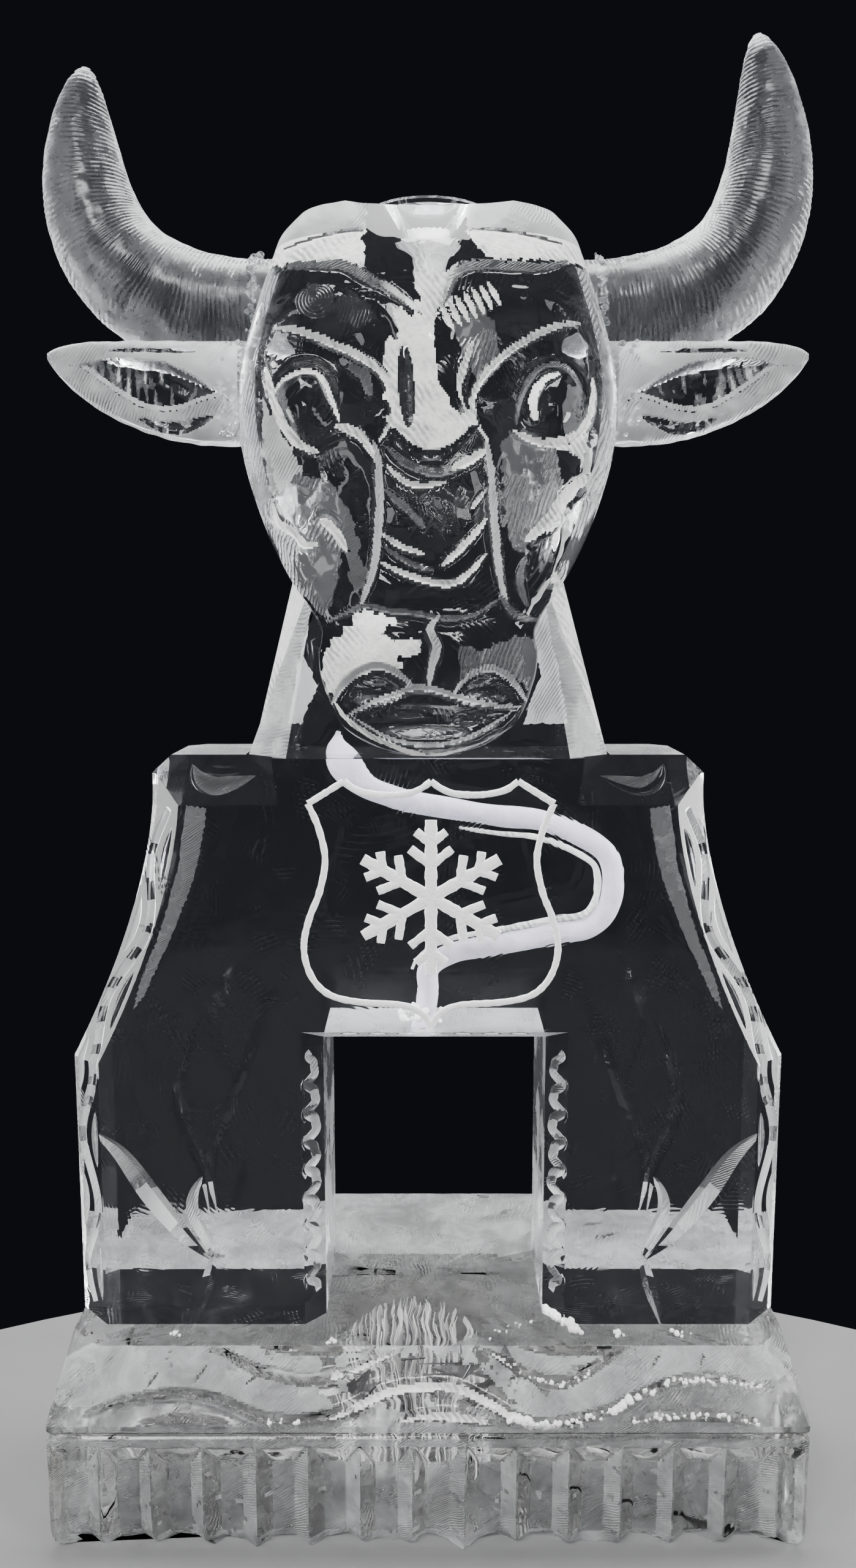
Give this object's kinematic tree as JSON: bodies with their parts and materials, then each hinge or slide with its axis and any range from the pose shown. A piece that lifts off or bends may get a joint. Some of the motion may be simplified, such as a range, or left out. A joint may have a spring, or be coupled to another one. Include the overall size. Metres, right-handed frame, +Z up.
{
  "type": "bull head ice sculpture",
  "caption": "Carved clear ice bull's head with horns and ears, frozen on an arched shoulder block and a fluted plinth, with a pouring bowl in its crown.",
  "frame": {"origin": "on the table under the middle of the plinth, at the lowest level of the piece", "axes": "+Z up, +Y from the face towards the back of the head, +X towards the horn with the higher tip"},
  "size_m": [0.5243, 0.254, 1.0117],
  "materials": {
    "clear_ice": "wet clear ice with tool marks",
    "frosted_ice": "filed and melting ice, frosted white on the ridges"
  },
  "bodies": {
    "root": {"plinth": "frosted_ice", "shoulder_block": "clear_ice", "head": "clear_ice", "horn_left": "frosted_ice", "horn_right": "frosted_ice", "ear_left": "frosted_ice", "ear_right": "frosted_ice"}
  },
  "joints": []
}
